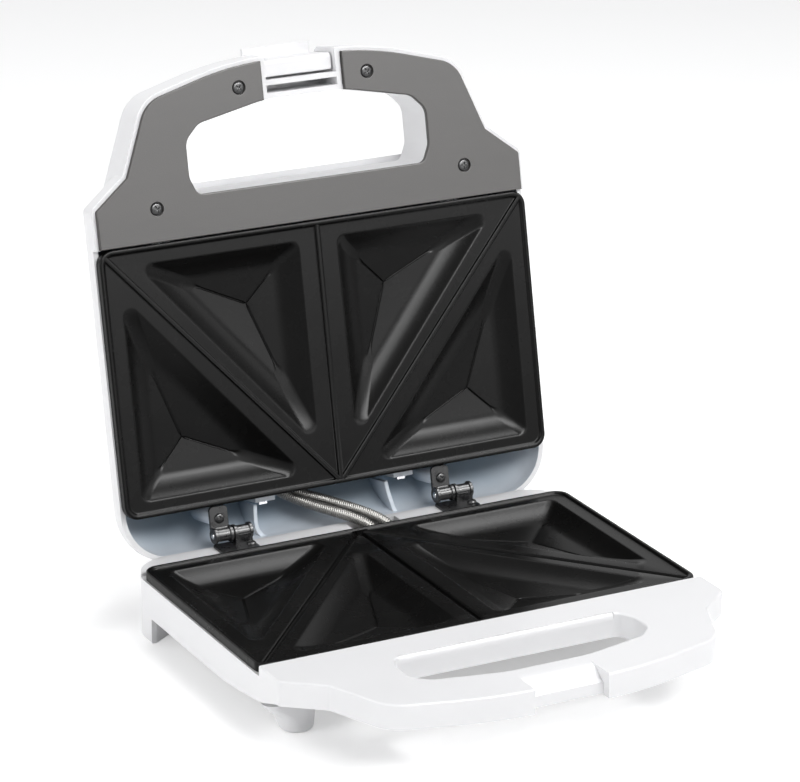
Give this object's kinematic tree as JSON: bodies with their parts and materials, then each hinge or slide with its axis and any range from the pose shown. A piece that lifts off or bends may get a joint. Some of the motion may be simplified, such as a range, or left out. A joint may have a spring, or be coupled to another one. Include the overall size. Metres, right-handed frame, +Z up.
{
  "type": "sandwich_toaster",
  "caption": "Sandwich toaster with a hinged lid, ribbed non-stick triangle plates, open finger-hole handles and a fold-over latch",
  "frame": {"origin": "under the middle of the bounding box, on the plane the feet stand on", "axes": "+Z up, -Y towards the handles at the front, +X to the right seen from the front"},
  "size_m": [0.2196, 0.2841, 0.2449],
  "materials": {
    "white_plastic": "glossy white polypropylene",
    "non_stick": "black semi-gloss non-stick coating on cast aluminium",
    "element_steel": "heat-dulled element sheath",
    "shield_steel": "pressed aluminium sheet",
    "bright_screw": "zinc-plated steel",
    "brass_screw": "plain brass",
    "ceramic": "cream insulating plastic and ceramic",
    "wire_sleeve": "silicone-sleeved wire",
    "black_steel": "black finished steel",
    "conduit_steel": "wound steel sleeve",
    "panel_plastic": "matt dark heat-resistant plastic",
    "thermostat_metal": "thermostat body",
    "red_lens": "clear red lens",
    "green_lens": "clear green lens",
    "lamp_glass": "small neon lamp"
  },
  "bodies": {
    "base": {"base_shell": "white_plastic", "lower_plate": "non_stick", "lower_heating_element": "element_steel", "lower_heat_shield": "shield_steel", "lower_plate_screws": "bright_screw", "thermal_fuse": "ceramic", "fuse_clip": "shield_steel", "terminal_block": "ceramic", "terminal_screws": "brass_screw", "cord_gland": "white_plastic", "cord_clamp": "ceramic", "cord_clamp_screws": "bright_screw", "base_wiring": "wire_sleeve", "hinge_base_leaf_left": "black_steel", "hinge_base_leaf_right": "black_steel", "hinge_pin_left": "bright_screw", "hinge_pin_right": "bright_screw", "base_hinge_screws": "black_steel", "conduit_sleeves": "conduit_steel"},
    "lid": {"lid_shell": "white_plastic", "handle_panel": "panel_plastic", "handle_panel_screws": "black_steel", "upper_plate": "non_stick", "upper_heating_element": "element_steel", "upper_heat_shield": "shield_steel", "upper_plate_screws": "bright_screw", "shield_screws": "bright_screw", "thermostat": "thermostat_metal", "power_lamp_lens": "red_lens", "ready_lamp_lens": "green_lens", "neon_lamps": "lamp_glass", "lamp_bracket": "ceramic", "lamp_bracket_screws": "bright_screw", "lid_wiring": "wire_sleeve", "hinge_lid_leaf_left": "black_steel", "hinge_lid_leaf_right": "black_steel", "lid_hinge_screws": "black_steel", "latch_pin": "bright_screw"},
    "latch": {"latch": "white_plastic"}
  },
  "joints": [
    {"name": "lid_hinge", "type": "hinge", "parent": "base", "child": "lid", "pos_m": [0, 0.0701, 0.03504], "axis": [1, 0, 0], "range_deg": [0, 102], "deforming": ["conduit_sleeves"]},
    {"name": "latch_fold", "type": "hinge", "parent": "lid", "child": "latch", "pos_m": [0, 0.11971, 0.23929], "axis": [1, 0, 0], "range_deg": [0, 180]}
  ]
}
